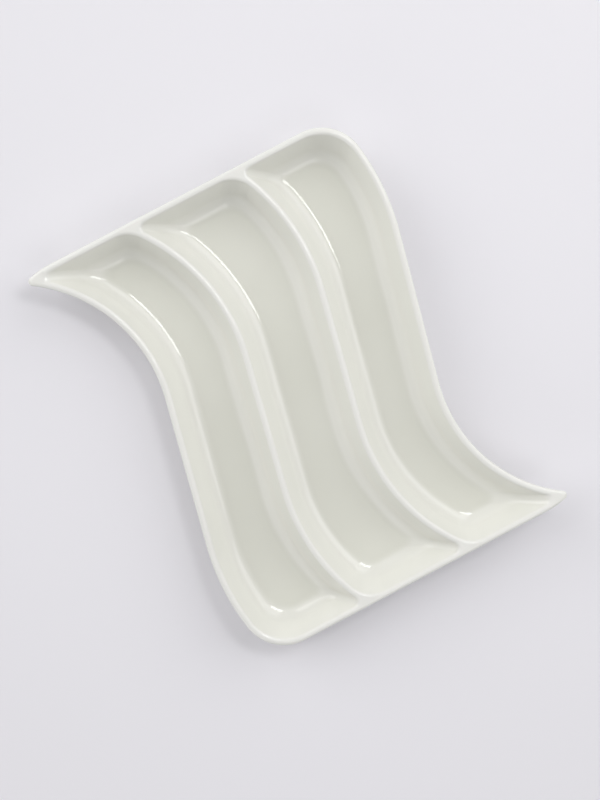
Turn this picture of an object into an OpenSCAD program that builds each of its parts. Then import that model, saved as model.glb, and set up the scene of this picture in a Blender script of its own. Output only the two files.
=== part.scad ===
// Three-well relish tray in glazed porcelain, one fired piece in the real object.
// The wells lie side by side between two straight ends, and their long sides run in a
// shallow wave, so the tips of the tray point opposite ways.
// The piece is split here into regions that meet face to face: three wells, the rim band
// around them, the two divider ridges between them and the three rings that it rests on.
// Origin: middle of the footprint, on the plane it rests on. +X runs along the straight
// ends, +Y along the wells, +Z up. Turned half round about +Z the tray is the same again.

/* [Tray] */
// Length of the tray over its two straight ends
tray_length = 305; // [290:1:320]
// Height from the resting plane to the top of the rim
tray_height = 30; // [27:0.5:34]
// Thickness of the walls, and of the floors and the rim, which is rounded full
wall_t = 5; // [4:0.25:6]

/* [Side wave] */
// How far left of the middle the left side reaches at its upper bend
side_top_out = 79.5; // [78:0.5:85]
// How far left of the middle the left side reaches at its lower bend
side_low_out = 108.5; // [104:0.5:114]
// Height of the upper bend above the middle, as a share of the length
side_top_up_share = 0.1984; // [0.18:0.005:0.22]
// Depth of the lower bend below the middle, as a share of the length
side_low_up_share = 0.3246; // [0.31:0.005:0.35]
// Radius of the upper bend, as a share of the length
side_top_bend_share = 0.3455; // [0.32:0.005:0.38]
// Radius of the lower bend, as a share of the length
side_low_bend_share = 0.5236; // [0.5:0.01:0.6]

/* [Divider wave] */
// How far left of the middle the left divider reaches at its upper bend
divider_top_out = 20.6; // [19:0.5:24]
// How far left of the middle the left divider reaches at its lower bend
divider_low_out = 45.3; // [43:0.5:49]
// Height of the upper bend above the middle, as a share of the length
divider_top_up_share = 0.2105; // [0.18:0.005:0.22]
// Depth of the lower bend below the middle, as a share of the length
divider_low_up_share = 0.2708; // [0.24:0.005:0.28]
// Radius of the upper bend, as a share of the length
divider_top_bend_share = 0.422; // [0.39:0.01:0.47]
// Radius of the lower bend, as a share of the length
divider_low_bend_share = 0.453; // [0.42:0.01:0.5]

/* [Wells] */
// Slope of the steep part of the well walls, in degrees
wall_slope = 65; // [60:1:70]
// Radius of the hollow fillet between a wall and the floor of its well
floor_fillet = 12.5; // [10:0.5:14]
// Corner radius of an outer well in its pointed corner at the tray's side, at the rim
tip_corner_r = 3.8; // [3:0.1:5]
// Corner radius of a well in its pointed corners beside a divider, at the rim
divider_corner_r = 3; // [2:0.1:4]
// Corner radius of a well in its pointed corners, at the floor
tip_floor_r = 5; // [3:0.5:7]
// Corner radius of a well in its wide corners beside a divider, at the rim
wide_corner_r = 19; // [16:0.5:23]
// Corner radius of a well in its wide corners beside a divider, at the floor
wide_floor_r = 14; // [10:0.5:18]
// Corner radius of an outer well in its wide corner at the tray's side, at the rim
outer_corner_r = 28; // [24:0.5:31]
// Corner radius of an outer well in its wide corner at the tray's side, at the floor
outer_floor_r = 16; // [12:0.5:20]
// Corner radius of the outside of the walls in the pointed corners, near the foot
tip_outside_r = 5.5; // [5:0.5:7]

/* [Rim] */
// Radius of the blunt nose at the two pointed corners of the tray, seen from above
nose_r = 3; // [2:0.1:4]
// How far from the middle the straight ends begin to curve back towards those corners
tip_ease_out = 110; // [105:0.5:115]
// Radius of that curve, on the crest line
tip_ease_r = 55.5; // [50:0.5:70]
// Radius of the two wide corners of the tray, seen from above
shoulder_r = 31; // [28:0.5:35]
// Half width of the divider ridges, and how far the rim band reaches inside its crest
// line, as a share of half the wall thickness
band_share = 0.8; // [0.7:0.01:0.9]

/* [Foot rings] */
// Height of the foot rings
foot_h = 2.5; // [1.5:0.25:3.5]
// Width of a foot ring where it leaves the underside
foot_w = 4.5; // [3.5:0.25:5.25]
// Distance of a foot ring inside the edge of the flat underside
foot_inset = 0.5; // [0.25:0.25:1]
// Taper of each flank of a foot ring
foot_taper = 0.7; // [0.4:0.1:1]
// Bevel along the resting edges of a foot ring
foot_bevel = 0.6; // [0.3:0.1:1]
// Corner radius of the outer edge of a foot ring in the pointed corners of its well
foot_tip_r = 6; // [5:0.5:7]
// Corner radius of the inner edge of a foot ring in those corners
foot_inner_tip_r = 2; // [1:0.5:2.5]
// Corner radius of the outer edge of a foot ring in the wide corners of its well
foot_wide_r = 9; // [7:0.5:10]
// Corner radius of the inner edge of a foot ring in those corners
foot_inner_wide_r = 5; // [4:0.5:6]

/* [Fineness] */
// Steps along each long bend
bend_steps = 12; // [8:1:16]
// Steps around each pointed corner of a contour
corner_steps = 6; // [4:1:8]
// Steps beside a pointed corner, where a ridge widens between it and a wide corner
match_steps = 3; // [2:1:5]
// Steps along the curve of the ends towards the tray's pointed corners
ease_steps = 4; // [2:1:6]
// Steps around the fillets
fillet_steps = 6; // [4:1:8]
// Steps from the crest down each flank of the rim and ridges
crest_steps = 3; // [2:1:5]

/* [Hidden] */
porcelain = [0.93, 0.93, 0.89];
shaded = [0.88, 0.88, 0.84];
biscuit = [0.87, 0.85, 0.79];

// The crest is a full round on the wall, and the wall keeps its thickness down to the floor.
crest_r = wall_t / 2;
band_d = band_share * crest_r;
crest_end = tray_length / 2 - crest_r;
floor_z = foot_h + wall_t;
fillet_z = floor_z + floor_fillet;
crest_z = tray_height - crest_r;

// Insets are measured square to the crest lines. The wall lines meet the crest round on
// the inside and on the outside, and both fillets share one centre.
wall_rise = crest_r / cos(wall_slope);
floor_d = floor_fillet * sin(wall_slope)
    + (crest_z + wall_rise - fillet_z + floor_fillet * cos(wall_slope)) / tan(wall_slope);
crest_inner_a = asin(band_share);
crest_outer_a = 180 - wall_slope;
roof_d = crest_r * sin(crest_inner_a / crest_steps);

function crest_z_at(a) = crest_z + crest_r * cos(a);
function outside_z_at(d) = crest_z - wall_rise - d * tan(wall_slope);
function mix(a, b, share) = a + (b - a) * share;

// A crest line is an arc that bulges to the right above the middle and an arc that bulges
// to the left below it, joined by their common tangent: [centre, radius, centre, radius].
function wave(top_out, top_up, top_bend, low_out, low_up, low_bend) =
    [[-top_out - top_bend, top_up], top_bend, [-low_out + low_bend, -low_up], low_bend];
function turned(w) = [-w[2], w[3], -w[0], w[1]];

left_side = wave(
    side_top_out, side_top_up_share * tray_length, side_top_bend_share * tray_length,
    side_low_out, side_low_up_share * tray_length, side_low_bend_share * tray_length);
left_divider = wave(
    divider_top_out, divider_top_up_share * tray_length,
    divider_top_bend_share * tray_length,
    divider_low_out, divider_low_up_share * tray_length,
    divider_low_bend_share * tray_length);
waves = [left_side, left_divider, turned(left_divider), turned(left_side)];

// Where the straight of a wave, moved to the right by d, leaves its upper arc.
function straight_top(w, d) =
    let (span = w[2] - w[0], reach = norm(span), u = span / reach)
    let (across = min((w[1] + w[3]) / reach, 1), along = sqrt(1 - across * across))
    let (n = [across * u[0] - along * u[1], along * u[0] + across * u[1]])
    let (m = [across * u[0] + along * u[1], across * u[1] - along * u[0]])
    w[0] + (abs(n[1]) < abs(m[1]) ? n : m) * (w[1] + d);

function angle_of(p, centre) = atan2(p[1] - centre[1], p[0] - centre[0]);
function arc(centre, r, from, to, steps) = [
    for (i = [0:steps])
        let (a = mix(from, to, i / steps))
        centre + r * [cos(a), sin(a)]
];
function tail(points) = [for (i = [1:len(points) - 1]) points[i]];
function flip(points) = [for (p = points) -p];

// The end of the tray curves back on this circle towards its pointed corner.
ease = [-tip_ease_out, crest_end - tip_ease_r];

// Centre of a corner of radius r between the end and wave w, at inset d: to the right of
// the wave where side is 1, to its left where it is -1.
function corner_at(w, d, r, side) =
    let (rise = crest_end - d - r - w[0][1], reach = w[1] + side * (d + r))
    w[0] + [sqrt(max(reach * reach - rise * rise, 0)), rise];
// Centre of a corner of radius r that touches the outside of the circle left and, on its
// inside, the curve of the end, both of them d inside the crest lines.
function eased_tip(left, d, r) =
    let (span = ease - left[0], reach = norm(span), u = span / reach)
    let (far = left[1] + d + r, near = tip_ease_r - d - r)
    let (along = (far * far - near * near + reach * reach) / (2 * reach))
    left[0] + along * u + sqrt(max(far * far - along * along, 0)) * [-u[1], u[0]];

// Share of a divider's upper arc that ends opposite the wide corner on its other side, so
// that the sections of a ridge lie square to its crest. At the tray's side it is free.
function match_share(i) = i == 0 ? 0.8 :
    let (w = waves[i], leave = angle_of(straight_top(w, band_d), w[0]))
    let (top = angle_of(corner_at(w, band_d, divider_corner_r, 1), w[0]))
    (angle_of(corner_at(w, band_d, wide_corner_r, -1), w[0]) - leave) / (top - leave);
match_shares = [for (i = [0:2]) match_share(i)];

// The upper half of a contour from wave i to wave k, clockwise from above: up the left
// wave, round its pointed corner, along the end, round the wide corner and down the right
// wave. The list is kept in five runs. It lies d inside both waves and the end. At the
// tray's side the end is eased, and has ease_steps points more before the wide corner.
function half_runs(i, k, d, tip_r, wide_r) =
    let (left = waves[i], right = waves[k], end = crest_end - d, r = left[1] + d)
    let (flat = corner_at(left, d, tip_r, 1), wide = corner_at(right, d, wide_r, -1))
    let (eased = i == 0 && flat[0] < -tip_ease_out)
    let (tip = eased ? eased_tip(left, d, tip_r) : flat)
    let (leave = angle_of(straight_top(left, d), left[0]), top = angle_of(tip, left[0]))
    let (split = mix(leave, top, match_shares[i]), turn = angle_of(wide, right[0]))
    let (tip_a = angle_of(left[0], tip), end_a = eased ? angle_of(tip, ease) : 90)
    [
        arc(left[0], r, leave, split, bend_steps),
        concat(
            tail(arc(left[0], r, split, top, match_steps)),
            tail(arc(tip, tip_r, tip_a < 0 ? tip_a + 360 : tip_a, end_a, corner_steps))),
        concat(
            i > 0 ? [] : eased ? tail(arc(ease, tip_ease_r - d, end_a, 90, ease_steps))
                : [for (j = [1:ease_steps]) [mix(tip[0], wide[0], j / (2 * ease_steps)), end]],
            [[wide[0], end]]),
        tail(arc(wide, wide_r, 90, turn, corner_steps + match_steps)),
        tail(arc(right[0], right[1] - d, turn,
            angle_of(straight_top(right, -d), right[0]), bend_steps))
    ];
function joined(runs) = [for (run = runs) each run];

// Corner radii of well i at inset d: the corners at the tray's sides differ.
function share_down(d) = (d - band_d) / (floor_d - band_d);
function wide_r_at(d, at_side) =
    mix(at_side ? outer_corner_r : wide_corner_r,
        at_side ? outer_floor_r : wide_floor_r, share_down(d));
function tip_r_at(d, at_side) =
    mix(at_side ? tip_corner_r : divider_corner_r, tip_floor_r, share_down(d));
function outside_tip_r_at(d, at_side) = mix(at_side ? tip_corner_r : divider_corner_r,
    tip_outside_r, min(1, (d - band_d) / (outside_edge_d - band_d)));
// The contour of well i at inset d, with the radii at its two pointed corners and at its
// two wide ones, the upper of each first.
function well_runs(i, d, tip_rs, wide_rs) =
    let (top = half_runs(i, i + 1, d, tip_rs[0], wide_rs[0]))
    let (low = half_runs(2 - i, 3 - i, d, tip_rs[1], wide_rs[1]))
    concat(top, [for (run = low) flip(run)]);
function wide_rs_at(i, d) = [wide_r_at(d, i == 2), wide_r_at(d, i == 0)];
function inside_runs(i, d) =
    well_runs(i, d, [tip_r_at(d, i == 0), tip_r_at(d, i == 2)], wide_rs_at(i, d));
function inside_ring(i, d) = joined(inside_runs(i, d));
function outside_ring(i, d) =
    joined(well_runs(i, d, [outside_tip_r_at(d, i == 0), outside_tip_r_at(d, i == 2)],
        wide_rs_at(i, d)));

// Inside and outside of the wells as lists of [inset, height].
outside_fillet = floor_fillet + wall_t;
outside_edge_d = floor_d - outside_fillet * sin(wall_slope);
function fillet_profile(r) = [
    for (i = [0:fillet_steps])
        let (a = wall_slope * (1 - i / fillet_steps))
        [floor_d - r * sin(a), fillet_z - r * cos(a)]
];
inside_profile = concat(
    [[band_d, crest_z_at(crest_inner_a)], [crest_r * sin(wall_slope), crest_z_at(wall_slope)]],
    fillet_profile(floor_fillet));
outside_profile = concat([[band_d, outside_z_at(band_d)]], fillet_profile(outside_fillet));

function lifted(points, z) = [for (p = points) [p[0], p[1], z]];
function back(list) = [for (i = [len(list) - 1:-1:0]) list[i]];

// Faces between ring a and ring b of n points each, clockwise seen from outside.
function band_faces(a, b, n) = [
    for (j = [0:n - 1])
        let (k = (j + 1) % n)
        each [[a * n + j, a * n + k, b * n + k], [a * n + j, b * n + k, b * n + j]]
];
// Faces across a ring of n points, seen from above: the points are paired off down both
// sides from the end after point top. That end has gap points between its corners, and
// the other end low_gap points, which fan out to the next point down or up the side.
function cap_faces(n, top, gap, low_gap) =
    let (pairs = (n - gap - low_gap) / 2, right = top + 1 + gap)
    concat(
        [for (j = [0:gap]) [top + j, top + j + 1, right + 1]],
        [[top, right + 1, top - 1]],
        [for (k = [1:pairs - 3]) each [
            [(top - k + n) % n, right + k, right + k + 1],
            [(top - k + n) % n, right + k + 1, (top - k - 1 + n) % n]]],
        let (l = (top - pairs + 2 + n) % n, s = right + pairs - 1)
        [[l, s - 1, s], for (j = [0:low_gap]) [l, s + j, s + j + 1]]);
function shifted(faces, by) = [for (f = faces) [f[0] + by, f[1] + by, f[2] + by]];
function turned_over(faces) = [for (f = faces) [f[0], f[2], f[1]]];

module well(i) {
    rings = concat(
        [for (p = back(outside_profile)) lifted(outside_ring(i, p[0]), p[1])],
        [for (p = inside_profile) lifted(inside_ring(i, p[0]), p[1])]);
    n = len(rings[0]);
    last = len(rings) - 1;
    cap = cap_faces(n, bend_steps + match_steps + corner_steps, i == 0 ? ease_steps : 0,
        i == 2 ? ease_steps : 0);
    polyhedron(
        points = joined(rings),
        faces = concat(
            [for (k = [0:last - 1]) each band_faces(k, k + 1, n)],
            turned_over(cap),
            shifted(cap, last * n)));
}

// A ridge between wells i and i + 1: its left edge is the right side of well i and its
// right edge the left side of well i + 1, both from the top down.
function final(points) = points[len(points) - 1];
function right_chain(i) =
    let (runs = inside_runs(i, band_d))
    concat([final(runs[2])], runs[3], runs[4], runs[5], runs[6]);
function left_chain(i) =
    let (runs = inside_runs(i, band_d))
    back(concat([final(runs[7])], runs[8], runs[9], runs[0], runs[1]));

// Distance of point p from a chain of points.
function gap_to(p, chain) = min([
    for (k = [1:len(chain) - 1])
        let (a = chain[k - 1], s = chain[k] - a)
        norm(a + s * max(0, min(1, (p - a) * s / (s * s))) - p)
]);
// Across a ridge at step j: [place, inset] of each point, spaced for its round crest.
// Where the ridge widens at its ends, the inset stays at zero in the flat between.
function edge_angle(k) = crest_inner_a * (1 - k / crest_steps);
function edge_d(k) = crest_r * sin(edge_angle(k));
across_shares = concat(
    [for (k = [0:crest_steps - 1]) (1 - edge_d(k) / band_d) / 2], [0.5],
    [for (k = [crest_steps - 1:-1:0]) (1 + edge_d(k) / band_d) / 2]);
function ridge_row(left, right, j) = [
    for (share = across_shares)
        let (p = mix(left[j], right[j], share))
        [p, max(0, band_d - min(gap_to(p, left), gap_to(p, right)))]
];
function crest_height(d) = crest_z + sqrt(crest_r * crest_r - d * d);
function roof_z_at(d) = outside_z_at(max(d, roof_d));

module ridge(i) {
    left = right_chain(i);
    right = left_chain(i + 1);
    sections = [
        for (j = [0:len(left) - 1])
            let (row = ridge_row(left, right, j))
            concat(
                [for (q = row) [q[0][0], q[0][1], crest_height(q[1])]],
                [for (q = back(row)) [q[0][0], q[0][1], roof_z_at(q[1])]])
    ];
    n = len(sections[0]);
    last = len(sections) - 1;
    polyhedron(
        points = joined(sections),
        faces = concat(
            [for (k = [0:last - 1]) each band_faces(k, k + 1, n)],
            [[for (j = [n - 1:-1:0]) j]],
            [[for (j = [0:n - 1]) last * n + j]]));
}

// The rim band: rings from the inner cut over the crest and down the outside of the wall.
// Where a ridge ends at the rim, the rings take the ridge's points and heights.
ridge_ends = [for (i = [0, 1]) ridge_row(right_chain(i), left_chain(i + 1), 0)];
function rim_half(d, tip_r, wide_r) =
    let (runs = half_runs(0, 3, d, tip_r, wide_r))
    concat(
        runs[0], runs[1], [for (k = [0:ease_steps - 1]) runs[2][k]],
        [for (row = ridge_ends) each [for (q = row) [q[0][0], crest_end - d]]],
        [final(runs[2])], runs[3], runs[4]);
// For each point of that list, the inset of the ridge's point that meets it, or undef.
rim_marks = concat(
    [for (i = [0:bend_steps + match_steps + corner_steps + ease_steps]) undef],
    [for (row = ridge_ends) each [for (q = row) q[1] < band_d ? q[1] : undef]],
    [for (i = [0:corner_steps + match_steps + bend_steps]) undef]);

function rim_share(d) = (band_d - d) / (band_d + crest_r);
function rim_ring(d) =
    let (half = rim_half(d, mix(tip_corner_r, nose_r, rim_share(d)),
        mix(outer_corner_r, shoulder_r, rim_share(d))))
    concat(half, flip(half));
function rim_top_z(z, mark) = mark == undef ? z : tray_height
    - (tray_height - z) * (tray_height - crest_height(mark))
        / (tray_height - crest_height(band_d));

module rim_band() {
    marks = concat(rim_marks, rim_marks);
    angles = [
        -crest_outer_a,
        for (k = [0:crest_steps]) -90 * (1 - k / crest_steps),
        for (k = [crest_steps - 1:-1:0]) edge_angle(k)
    ];
    tops = [
        for (a = angles)
            let (ring = rim_ring(crest_r * sin(a)), z = crest_z_at(a))
            [for (j = [0:len(ring) - 1])
                [ring[j][0], ring[j][1], a > 0 ? rim_top_z(z, marks[j]) : z]]
    ];
    cut = rim_ring(band_d);
    roof = rim_ring(roof_d);
    under = [
        [for (j = [0:len(cut) - 1]) [cut[j][0], cut[j][1],
            marks[j] == undef ? outside_z_at(band_d) : roof_z_at(marks[j])]],
        [for (p = roof) [p[0], p[1], outside_z_at(roof_d)]]
    ];
    rings = concat(tops, under);
    n = len(rings[0]);
    count = len(rings);
    polyhedron(
        points = joined(rings),
        faces = [for (k = [0:count - 1]) each band_faces(k, (k + 1) % count, n)]);
}

// A foot ring follows the floor of its well, inside the edge of the flat underside.
foot_profile = [
    [0, foot_h, 0], [foot_taper, foot_bevel, 0], [foot_taper + foot_bevel, 0, 0],
    [foot_w - foot_taper - foot_bevel, 0, 1], [foot_w - foot_taper, foot_bevel, 1],
    [foot_w, foot_h, 1]
];
module foot_ring(i) {
    rings = [
        for (p = back(foot_profile))
            let (d = floor_d + foot_inset + p[0])
            let (r = mix(foot_tip_r, foot_inner_tip_r, p[0] / foot_w))
            let (wide_r = mix(foot_wide_r, foot_inner_wide_r, p[0] / foot_w))
            lifted(joined(well_runs(i, d, [r, r], [wide_r, wide_r])), p[1])
    ];
    n = len(rings[0]);
    count = len(rings);
    polyhedron(
        points = joined(rings),
        faces = [for (k = [0:count - 1]) each band_faces(k, (k + 1) % count, n)]);
}

module left_well() {
    color(shaded) well(0);
}
module middle_well() {
    color(shaded) well(1);
}
module right_well() {
    color(shaded) well(2);
}
module rim() {
    color(porcelain) rim_band();
}
module left_divider_ridge() {
    color(porcelain) ridge(0);
}
module right_divider_ridge() {
    color(porcelain) ridge(1);
}
module left_foot_ring() {
    color(biscuit) foot_ring(0);
}
module middle_foot_ring() {
    color(biscuit) foot_ring(1);
}
module right_foot_ring() {
    color(biscuit) foot_ring(2);
}

left_well();
middle_well();
right_well();
rim();
left_divider_ridge();
right_divider_ridge();
left_foot_ring();
middle_foot_ring();
right_foot_ring();
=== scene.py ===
"""Three-well relish tray in glazed porcelain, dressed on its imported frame.

The real tray is one fired piece. Each region of it stands here as a closed mesh of its
own: three wells, the rim band around them, the two divider ridges between them and the
three foot rings. Neighbours meet on the straight part of the walls, where the shading
runs on without a seam.

The porcelain is first laid out flat, with the inset of every point from the crest lines.
The Raised Porcelain tree then lifts each point: a round crest, a straight wall, a hollow
fillet and a flat floor. The Foot Ring tree sweeps the foot's section along its line.

Plan sizes are in millimetres and become metres when a mesh is made.
"""

import logging
import math
from collections.abc import Sequence
from dataclasses import dataclass, field, replace
from enum import Enum

import bpy
import numpy as np
from mathutils import Matrix, Vector


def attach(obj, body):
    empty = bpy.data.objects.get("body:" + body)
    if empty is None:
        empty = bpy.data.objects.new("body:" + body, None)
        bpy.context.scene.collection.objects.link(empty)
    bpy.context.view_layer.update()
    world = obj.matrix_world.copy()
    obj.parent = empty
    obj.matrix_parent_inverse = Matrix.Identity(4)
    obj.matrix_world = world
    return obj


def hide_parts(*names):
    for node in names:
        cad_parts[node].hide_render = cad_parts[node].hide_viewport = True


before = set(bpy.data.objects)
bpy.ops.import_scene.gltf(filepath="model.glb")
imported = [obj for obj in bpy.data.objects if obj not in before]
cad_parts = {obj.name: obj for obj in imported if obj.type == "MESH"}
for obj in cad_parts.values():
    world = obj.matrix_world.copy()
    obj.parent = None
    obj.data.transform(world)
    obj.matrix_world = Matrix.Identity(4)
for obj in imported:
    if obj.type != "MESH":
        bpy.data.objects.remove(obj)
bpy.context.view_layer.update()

MM = 0.001
SIDES = ("left", "middle", "right")
# Steps round each edge of a foot, and the draw above which a cell has a speck.
ROUNDING_STEPS = 5
SPECKED_ABOVE = 0.9
log = logging.getLogger("relish_tray")


class Skin(Enum):
    """The two sheets of the porcelain wall."""

    TOP = 0.0
    UNDERSIDE = 1.0


class Glazing(Enum):
    """How much of a piece the glaze covers."""

    ALL_OVER = "all over"
    FOOT_WIPED = "wiped off the foot"


# Plan of the tray


@dataclass(frozen=True)
class Arc:
    """A circle that part of a crest line lies on, in millimetres."""

    x: float
    y: float
    r: float

    @property
    def centre(self) -> np.ndarray:
        """Centre of the circle."""
        return np.array([self.x, self.y])

    def angle_to(self, point: np.ndarray) -> float:
        """Angle at which a point is seen from the centre, in radians."""
        return math.atan2(point[1] - self.y, point[0] - self.x)


@dataclass(frozen=True)
class Wave:
    """A crest line: an arc bulging right above the middle and one bulging left below it."""

    upper: Arc
    lower: Arc

    @classmethod
    def through(cls, top_out: float, top_up: float, top_bend: float,
                low_out: float, low_up: float, low_bend: float) -> "Wave":
        """A wave from each bend's distance left of the middle, height or depth, and radius."""
        return cls(Arc(-top_out - top_bend, top_up, top_bend),
                   Arc(-low_out + low_bend, -low_up, low_bend))

    def turned(self) -> "Wave":
        """The wave turned half round about the middle of the tray."""
        return Wave(Arc(-self.lower.x, -self.lower.y, self.lower.r),
                    Arc(-self.upper.x, -self.upper.y, self.upper.r))

    def leave_angle(self) -> float:
        """Place on the upper arc where the straight to the lower one starts.

        Returns:
            Its angle on the upper arc, in radians.
        """
        span = self.lower.centre - self.upper.centre
        reach = float(np.hypot(*span))
        u = span / reach
        across = min((self.upper.r + self.lower.r) / reach, 1.0)
        along = math.sqrt(1 - across * across)
        n = (across * u[0] - along * u[1], along * u[0] + across * u[1])
        m = (across * u[0] + along * u[1], across * u[1] - along * u[0])
        best = n if abs(n[1]) < abs(m[1]) else m
        return math.atan2(best[1], best[0])


def placed(name: str, data: bpy.types.ID) -> bpy.types.Object:
    """A new object in the scene.

    Args:
        name: Name of the object.
        data: Its mesh, lamp or camera.

    Returns:
        The object.
    """
    made = bpy.data.objects.new(name, data)
    bpy.context.scene.collection.objects.link(made)
    return made


def mix(a: float, b: float, share: float) -> float:
    """The value that lies a share of the way from a to b."""
    return a + (b - a) * share


def arc_points(centre: np.ndarray, r: float, start: float, stop: float, steps: int,
               first: bool = False) -> np.ndarray:
    """Points along an arc between two angles in radians, with its first one or without."""
    a = np.linspace(start, stop, steps + 1)[0 if first else 1:]
    return np.stack([centre[0] + r * np.cos(a), centre[1] + r * np.sin(a)], axis=1)


def distance_to_loops(points: np.ndarray, loops: Sequence[np.ndarray]) -> np.ndarray:
    """Distance of points from the nearest of several closed outlines.

    Args:
        points: One row for each point.
        loops: The outlines, each with one row for each of its points.

    Returns:
        One distance for each point.
    """
    starts = np.concatenate(loops)
    spans = np.concatenate([np.roll(loop, -1, axis=0) - loop for loop in loops])
    lengths = np.maximum((spans ** 2).sum(axis=1), np.finfo(float).tiny)
    best = np.empty(len(points))
    for i, point in enumerate(points):
        share = np.clip(((point - starts) * spans).sum(axis=1) / lengths, 0.0, 1.0)
        gap = starts + spans * share[:, None] - point
        best[i] = math.sqrt(float((gap ** 2).sum(axis=1).min()))
    return best


@dataclass(frozen=True)
class TrayPlan:
    """Sizes of the tray, in millimetres and degrees, and the outlines they give."""

    length: float = 305.0
    height: float = 30.0
    wall: float = 5.0
    slope: float = 65.0
    fillet: float = 12.5
    foot: float = 2.5
    left_side: Wave = Wave.through(79.5, 60.512, 105.378, 108.5, 99.003, 159.698)
    left_divider: Wave = Wave.through(20.6, 64.203, 128.71, 45.3, 82.594, 138.165)
    # Insets: of the band at the crest, of the line where pieces meet, of a row above it.
    band: float = 2.0
    seam: float = 3.0
    flank_row: float = 2.6
    # Pointed corners: crest at the side, crest at a divider, floor, underside, outer edge.
    tip_corner: float = 3.8
    divider_corner: float = 3.0
    tip_floor: float = 5.0
    tip_outside: float = 5.5
    nose: float = 3.03
    # Wide corners: crest and floor at a divider, the same at the side, outer edge.
    wide_corner: float = 19.0
    wide_floor: float = 14.0
    outer_corner: float = 28.0
    outer_floor: float = 16.0
    shoulder: float = 31.0
    # Where an end bends towards its pointed corner, and its radius there.
    ease_out: float = 110.0
    ease_r: float = 55.5
    # Shares of an upper arc that end opposite a wide corner.
    side_share: float = 0.8
    most_share: float = 0.96
    # Steps along each run of a contour, down a fillet and up a side of a ridge.
    bend_steps: int = 44
    match_steps: int = 12
    corner_steps: int = 14
    end_steps: int = 12
    straight_steps: int = 8
    fillet_steps: int = 18
    ridge_steps: int = 8

    @property
    def crest_r(self) -> float:
        """Radius of the round crest."""
        return self.wall / 2

    @property
    def crest_end(self) -> float:
        """Distance of the crest line of the straight ends from the middle."""
        return self.length / 2 - self.crest_r

    @property
    def slope_rad(self) -> float:
        """Slope of the walls, in radians."""
        return math.radians(self.slope)

    @property
    def crest_edge(self) -> float:
        """Inset at which the round crest passes into the straight wall."""
        return self.crest_r * math.sin(self.slope_rad)

    @property
    def floor_inset(self) -> float:
        """Inset of the edge of the flat floor.

        Returns:
            The inset at which the hollow fillet runs level.
        """
        rise = self.crest_r / math.cos(self.slope_rad)
        drop = self.height - self.crest_r + rise - self.foot - self.wall
        drop -= self.fillet * (1 - math.cos(self.slope_rad))
        return self.fillet * math.sin(self.slope_rad) + drop / math.tan(self.slope_rad)

    def waves(self) -> list[Wave]:
        """The four crest lines from left to right."""
        return [self.left_side, self.left_divider,
                self.left_divider.turned(), self.left_side.turned()]

    def tip_radius(self, d: float, at_side: bool, skin: Skin) -> float:
        """Radius of a pointed corner.

        Args:
            d: Inset from the crest lines.
            at_side: Whether the corner lies at the side of the tray.
            skin: Sheet of the wall.

        Returns:
            The radius at that inset.
        """
        rim = self.tip_corner if at_side else self.divider_corner
        if d <= self.band:
            share = (self.band - d) / (self.band + self.crest_r)
            return mix(rim, self.nose, share) if at_side else rim
        if skin is Skin.TOP:
            return mix(rim, self.tip_floor,
                       (d - self.band) / (self.floor_inset - self.band))
        edge = self.floor_inset - (self.fillet + self.wall) * math.sin(self.slope_rad)
        return mix(rim, self.tip_outside, min(1.0, (d - self.band) / (edge - self.band)))

    def wide_radius(self, d: float, at_side: bool) -> float:
        """Radius of a wide corner.

        Args:
            d: Inset from the crest lines.
            at_side: Whether the corner lies at the side of the tray.

        Returns:
            The radius at that inset.
        """
        rim = self.outer_corner if at_side else self.wide_corner
        if d <= self.band:
            share = (self.band - d) / (self.band + self.crest_r)
            return mix(rim, self.shoulder, share) if at_side else rim
        return mix(rim, self.outer_floor if at_side else self.wide_floor,
                   (d - self.band) / (self.floor_inset - self.band))

    def wide_corner_at(self, right: Wave, d: float, r: float) -> tuple[np.ndarray, float]:
        """The wide corner between the end and a wave on its right.

        Args:
            right: The wave on the right of the corner.
            d: Inset from the crest lines.
            r: Radius of the corner.

        Returns:
            The centre of the corner, and the angle on the wave at which it ends.
        """
        drop = self.crest_end - d - r - right.upper.y
        s = right.upper.r - d
        x = right.upper.x + math.sqrt(max((s - r) ** 2 - drop * drop, 0.0))
        centre = np.array([x, self.crest_end - d - r])
        return centre, right.upper.angle_to(centre)

    def pointed_corner(self, k: int, d: float, skin: Skin
                       ) -> tuple[np.ndarray, float, bool]:
        """The pointed corner between wave k and the end.

        Args:
            k: Number of the wave, from the left.
            d: Inset from the crest lines.
            skin: Sheet of the wall.

        Returns:
            The centre of the corner, the angle at which it passes into the end, and
            whether the end is eased there.
        """
        arc, r = self.waves()[k].upper, self.tip_radius(d, k == 0, skin)
        far, y = arc.r + d + r, self.crest_end - d - r
        x = arc.x + math.sqrt(max(far * far - (y - arc.y) ** 2, 0.0))
        if k > 0 or x >= -self.ease_out:
            return np.array([x, y]), math.pi / 2, False
        # Beyond the start of the bend, the corner lies between the arc and the bend.
        ease = np.array([-self.ease_out, self.crest_end - self.ease_r])
        near, span = self.ease_r - d - r, ease - arc.centre
        reach = float(np.hypot(*span))
        u = span / reach
        along = (far * far - near * near + reach * reach) / (2 * reach)
        off = math.sqrt(max(far * far - along * along, 0.0))
        tip = arc.centre + along * u + off * np.array([-u[1], u[0]])
        return tip, math.atan2(tip[1] - ease[1], tip[0] - ease[0]), True

    def match_share(self, k: int, skin: Skin) -> float:
        """Place on a wave's upper arc that lies opposite the wide corner on its left.

        Args:
            k: Number of the wave, from the left.
            skin: Sheet of the wall.

        Returns:
            The share of the arc that leads up to it.
        """
        wave = self.waves()[k]
        if k == 0:
            return self.side_share
        turn = self.wide_corner_at(wave, self.seam, self.wide_radius(self.seam, False))[1]
        top = wave.upper.angle_to(self.pointed_corner(k, self.seam, skin)[0])
        share = (turn - wave.leave_angle()) / (top - wave.leave_angle())
        return min(share, self.most_share)

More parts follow.
